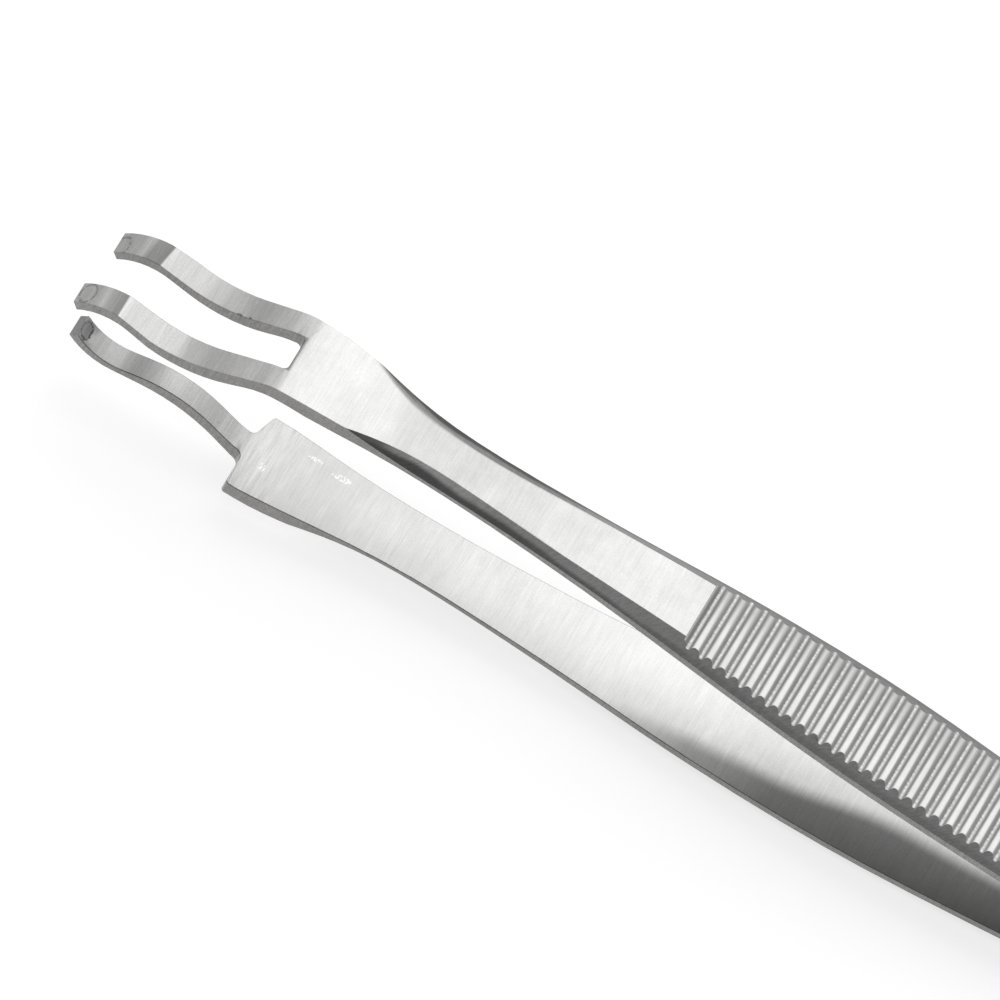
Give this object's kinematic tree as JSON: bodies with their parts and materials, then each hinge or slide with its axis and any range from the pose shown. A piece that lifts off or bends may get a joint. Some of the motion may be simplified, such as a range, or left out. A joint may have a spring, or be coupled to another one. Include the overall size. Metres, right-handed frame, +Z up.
{
  "type": "holding tweezers",
  "caption": "Spring tweezers with a forked claw tip facing a single claw, and grooved bevelled grips; the arms are welded at the heel.",
  "frame": {"origin": "middle of the footprint, on the surface that the tweezers lie on", "axes": "+Z up, +X from the claws to the heel, +Y to the side of the forked arm's shorter claw"},
  "size_m": [0.1294, 0.0106, 0.0166],
  "materials": {
    "forked_arm_steel": "satin, brushed across the arm",
    "single_arm_steel": "satin, brushed across the arm"
  },
  "bodies": {
    "root": {"forked_arm": "forked_arm_steel", "single_prong_arm": "single_arm_steel"}
  },
  "joints": []
}
